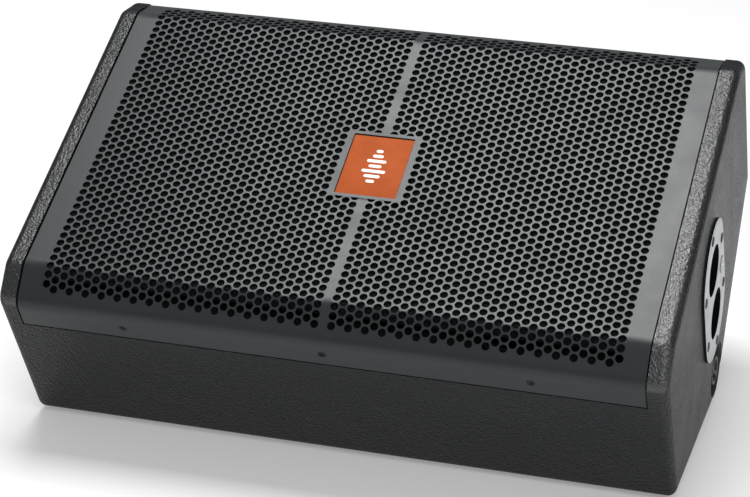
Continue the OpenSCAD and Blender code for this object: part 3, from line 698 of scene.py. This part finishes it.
def build_grille():
    bm = bmesh.new()
    verts = {}
    place = {}

    def vert(x, s):
        key = (round(x * 2e6), round(s * 2e6))
        if key not in verts:
            u, v, n = profile.point(s)
            verts[key] = bm.verts.new(at(x, u, v))
            place[verts[key]] = direction(0, n.x, n.y)
        return verts[key]

    def face(points):
        vs = []
        for p in points:
            q = vert(*p)
            if q not in vs:
                vs.append(q)
        if len(vs) > 2:
            bm.faces.new(vs)

    def plain(x0, xm, x1, s0, s1):
        """A cell without a hole; xm is None where its edges have no middle point."""
        low = [(x0, s0)] + ([(xm, s0)] if xm is not None else []) + [(x1, s0)]
        high = [(x1, s1)] + ([(xm, s1)] if xm is not None else []) + [(x0, s1)]
        face(low + high)

    def ring_point(cx, cs, k):
        a = 2 * math.pi * k / RING
        return (cx + HOLE_R * math.cos(a), cs + HOLE_R * math.sin(a))

    def tile(c, j, low=True, high=True):
        """Cell of one hole, whole or cut along its middle."""
        cx, cs = c * COL, j * ROW
        h = COL / 2
        outer = [
            (cx + h, cs), (cx + h, cs + ROW), (cx, cs + ROW), (cx - h, cs + ROW),
            (cx - h, cs), (cx - h, cs - ROW), (cx, cs - ROW), (cx + h, cs - ROW),
        ]
        for m in range(8):
            if (m < 4 and not high) or (m >= 4 and not low):
                continue
            inner = [ring_point(cx, cs, k % RING) for k in (2 * m + 2, 2 * m + 1, 2 * m)]
            face([outer[m], outer[(m + 1) % 8]] + inner)

    for c in range(-LAST_COL, LAST_COL + 1):
        cx = c * COL
        first = -LAST_ROW if c % 2 else -LAST_ROW + 1
        rows = [] if c == 0 else list(range(first + 1, LAST_ROW, 2))
        in_plate = abs(c) <= BADGE_COLS
        filled = set()
        for j in rows:
            if in_plate and abs(j) < BADGE_ROWS:
                continue
            if in_plate and abs(j) == BADGE_ROWS:
                tile(c, j, low=j < 0, high=j > 0)
                filled.add(j if j > 0 else j - 1)
                continue
            tile(c, j)
            filled |= {j - 1, j}
        for k in range(-LAST_ROW, LAST_ROW):
            if k in filled:
                continue
            if in_plate and -BADGE_ROWS <= k < BADGE_ROWS:
                continue
            plain(cx - COL / 2, cx, cx + COL / 2, k * ROW, (k + 1) * ROW)
    # blank plate round the badge window, up to the middle of the holes above and below it
    xw, sw = (BADGE_COLS + 0.5) * COL, BADGE_ROWS * ROW
    across = []
    for c in range(-BADGE_COLS, BADGE_COLS + 1):
        across += [(c - 0.5) * COL] + ([c * COL - HOLE_R, c * COL + HOLE_R] if c % 2 else [c * COL])
    across.append(xw)
    ring_out = [(xw, k * ROW) for k in range(-BADGE_ROWS, BADGE_ROWS)]
    ring_out += [(x, sw) for x in reversed(across[1:])]
    ring_out += [(-xw, k * ROW) for k in range(BADGE_ROWS, -BADGE_ROWS, -1)]
    ring_out += [(x, -sw) for x in across[:-1]]
    ring_in = [(p.x, p.y) for p in rounded_rect(window_x, window_u, 1.2 * MM, 4)]
    fill_between(face, ring_out, ring_in)

    # side margins and the sheet beyond the last rows
    edge = (LAST_COL + 0.5) * COL
    for sx in (-1, 1):
        a, b = sorted((sx * edge, sx * HALF_W))
        for k in range(-LAST_ROW, LAST_ROW):
            plain(a, None, b, k * ROW, (k + 1) * ROW)
    xs = [-HALF_W] + [m * COL / 2 for m in range(-2 * LAST_COL - 1, 2 * LAST_COL + 2)] + [HALF_W]
    lines = [LAST_ROW * ROW] + beyond
    for way in (-1, 1):
        for s0, s1 in zip(lines, lines[1:]):
            band = abs(s0 - nose_lines[-1]) < NEAR
            for xa, xb in zip(xs, xs[1:]):
                if band and any(lo - NEAR < (xa + xb) / 2 < hi + NEAR for lo, hi in SCREW_SPANS):
                    continue
                pts = [(xa, way * s0), (xb, way * s0), (xb, way * s1), (xa, way * s1)]
                face(pts if way > 0 else pts[::-1])
            if band:
                for (lo, hi), x in zip(SCREW_SPANS, SCREW_X):
                    inside = [v for v in xs if lo - NEAR < v < hi + NEAR]
                    outer = [(v, way * s0) for v in inside] + [(v, way * s1) for v in reversed(inside)]
                    hole = circle(Vector((x, way * screw_s)), SCREW_HOLE_R, 32)
                    fill_between(face, outer, [(p.x, p.y) for p in hole])
    bmesh.ops.recalc_face_normals(bm, faces=bm.faces[:])
    bm.faces.ensure_lookup_table()
    bm.normal_update()
    # faces look outwards before the second skin is made
    if sum(f.normal.dot(OUT) * f.calc_area() for f in bm.faces) < 0:
        bmesh.ops.reverse_faces(bm, faces=bm.faces[:])
    # second skin and the walls between the two
    outer_faces = bm.faces[:]
    rim = [e for e in bm.edges if len(e.link_faces) == 1]
    inner = {}
    for v, n in place.items():
        inner[v] = bm.verts.new(v.co - n * SHEET_T)
    for e in rim:
        f = e.link_faces[0]
        loop = next(l for l in f.loops if l.edge == e)
        a, b = loop.vert, loop.link_loop_next.vert
        bm.faces.new((b, a, inner[a], inner[b]))
    for f in outer_faces:
        bm.faces.new([inner[v] for v in reversed(f.verts[:])])
    return bm


finish_piece("grille_sheet", build_grille(), MATERIALS["grille_coat"], replaced=["grille"])


# ---- foam behind the grille ----


def build_foam():
    """Padded sheet with an uneven upper skin, sunk behind the badge's backing plate."""
    bm = bmesh.new()
    nx, ns = 150, 100
    half_x = foam_box[0][1] - 0.4 * MM
    reach = BEND_U + (foam_box[1][1] - BEND_U) / math.cos(STRIP_ANGLE) - 3 * MM
    top, thick = SHEET_T + 0.5 * MM, 5.6 * MM
    recess_x, recess_u = badge_box[0][1] + 7 * MM, badge_box[1][1] + 7 * MM
    skins = []
    for layer in (0, 1):
        rows = []
        for j in range(ns + 1):
            s = -reach + 2 * reach * j / ns
            u, v, n = profile.point(s)
            row = []
            for i in range(nx + 1):
                x = -half_x + 2 * half_x * i / nx
                depth = top + thick
                if layer == 0:
                    sink = 2.6 * MM if abs(x) < recess_x and abs(s) < recess_u else 0.0
                    broad = noise.noise(Vector((x, s, 0.3)) * 45) * 0.5
                    lump = broad + noise.noise(Vector((x, s, 1.7)) * 260) * 0.35
                    depth = top + sink + 0.55 * MM * (0.8 + lump)
                row.append(bm.verts.new(at(x, u, v) - direction(0, n.x, n.y) * depth))
            rows.append(row)
        skins.append(rows)
    for layer, rows in enumerate(skins):
        for a, b in zip(rows, rows[1:]):
            for i in range(nx):
                f = (a[i], a[i + 1], b[i + 1], b[i])
                bm.faces.new(f if layer == 0 else f[::-1])
    up, low = skins
    for i in range(nx):
        bm.faces.new((up[0][i], low[0][i], low[0][i + 1], up[0][i + 1]))
        bm.faces.new((up[-1][i + 1], low[-1][i + 1], low[-1][i], up[-1][i]))
    for j in range(ns):
        bm.faces.new((up[j + 1][0], low[j + 1][0], low[j][0], up[j][0]))
        bm.faces.new((up[j][-1], low[j][-1], low[j + 1][-1], up[j + 1][-1]))
    return bm


foam = finish_piece("foam_sheet", build_foam(), MATERIALS["foam"], replaced=["grille_foam"])


# ---- badge: enamelled plate with a column of plain bars ----


def slab(bm, outline, z0, z1, ease):
    """Solid between v z0 and z1 with its upper edge eased; outline in (x, u)."""
    steps = 4
    levels = [(z0, 0.0), (z1 - ease, 0.0)] + [
        (z1 - ease * (1 - math.sin(a)), ease * (1 - math.cos(a)))
        for a in [math.pi / 2 * k / steps for k in range(1, steps + 1)]
    ]
    loops = [[bm.verts.new(at(p.x, p.y, z)) for p in inset(outline, -t)] for z, t in levels]
    skinned(bm, loops)
    bm.faces.new(loops[-1])
    bm.faces.new(loops[0][::-1])


bm = bmesh.new()
slab(bm, rounded_rect(badge_box[0][1], badge_box[1][1], 1.0 * MM, 6), *badge_box[2], 0.3 * MM)
finish_piece("badge_plate", bm, MATERIALS["badge_enamel"], replaced=["badge"])


def bar(bm, cu, half_w, half_h, z0, z1):
    """Raised round-ended bar across the badge."""
    pts = []
    for sx, a0 in ((1, -90), (-1, 90)):
        middle = Vector((sx * (half_w - half_h), cu))
        pts += [middle + spoke(half_h, math.radians(a0 + 180 * k / 8)) for k in range(9)]
    slab(bm, pts, z0, z1, 0.12 * MM)


BAR_HALF_WIDTHS = (4.0, 7.5, 11.0, 6.0, 9.0, 5.0, 3.2)
BAR_HALF_HEIGHT = 1.75 * MM
BAR_STEP = 6.0
FIRST_BAR = -18
badge_top = badge_box[2][1]
bm = bmesh.new()
for k, half_w in enumerate(BAR_HALF_WIDTHS):
    middle_u = (FIRST_BAR + BAR_STEP * k) * MM
    bar(bm, middle_u, half_w * MM, BAR_HALF_HEIGHT, badge_top - 0.05 * MM, badge_top + 0.3 * MM)
finish_piece("badge_emblem", bm, emblem_white())


# ---- stage, lights and camera ----


def floor():
    bm = bmesh.new()
    half = 9.0
    vs = [bm.verts.new((x * half, y * half, 0)) for x, y in ((-1, -1), (1, -1), (1, 1), (-1, 1))]
    bm.faces.new(vs)
    me = bpy.data.meshes.new("floor")
    bm.to_mesh(me)
    bm.free()
    o = bpy.data.objects.new("floor", me)
    bpy.context.scene.collection.objects.link(o)
    m = bpy.data.materials.new("floor")
    m.use_nodes = True
    b = m.node_tree.nodes["Principled BSDF"]
    b.inputs["Base Color"].default_value = (0.7, 0.7, 0.7, 1)
    b.inputs["Roughness"].default_value = 0.9
    b.inputs["Specular IOR Level"].default_value = 0.1
    b.inputs["Emission Color"].default_value = (1, 1, 1, 1)
    b.inputs["Emission Strength"].default_value = 0.24
    me.materials.append(m)


def softbox(name, place, target, size, power):
    light = bpy.data.lights.new(name, "AREA")
    light.shape = "RECTANGLE"
    light.size, light.size_y = size
    light.energy = power
    o = bpy.data.objects.new(name, light)
    bpy.context.scene.collection.objects.link(o)
    o.location = place
    o.rotation_mode = "QUATERNION"
    o.rotation_quaternion = (Vector(target) - Vector(place)).to_track_quat("-Z", "Y")


floor()
softbox("overhead", (-0.275, 0.37, 2.3), (-0.275, 0.37, 0.0), (1.35, 1.1), 52)
softbox("fill", (1.6, -2.1, 2.0), (0.3, -1.0, 0.0), (1.6, 1.6), 34)
world = bpy.data.worlds.new("studio")
world.use_nodes = True
world.node_tree.nodes["Background"].inputs["Color"].default_value = (1, 1, 1, 1)
world.node_tree.nodes["Background"].inputs["Strength"].default_value = 0.3
bpy.context.scene.world = world
bpy.context.scene.view_settings.view_transform = "Standard"

AZIMUTH, ELEVATION, ROLL = math.radians(16.939), math.radians(23.413), math.radians(0.047)
DISTANCE = 2.1634
AIM = Vector((0.00879, -0.02805, -0.06788))
outwards = math.cos(ELEVATION)
back = Vector((math.sin(AZIMUTH) * outwards, -math.cos(AZIMUTH) * outwards, math.sin(ELEVATION)))
level = (-back).cross(Vector((0, 0, 1))).normalized()
above = level.cross(-back)
right = level * math.cos(ROLL) + above * math.sin(ROLL)
up = above * math.cos(ROLL) - level * math.sin(ROLL)
camera = bpy.data.objects.new("camera", bpy.data.cameras.new("camera"))
bpy.context.scene.collection.objects.link(camera)
turned = Matrix(((right.x, up.x, back.x), (right.y, up.y, back.y), (right.z, up.z, back.z)))
camera.matrix_world = Matrix.Translation(ORIGIN + AIM + back * DISTANCE) @ turned.to_4x4()
camera.data.sensor_width = 36.0
camera.data.lens = 116.46
camera.data.clip_start, camera.data.clip_end = 0.05, 50.0
bpy.context.scene.camera = camera
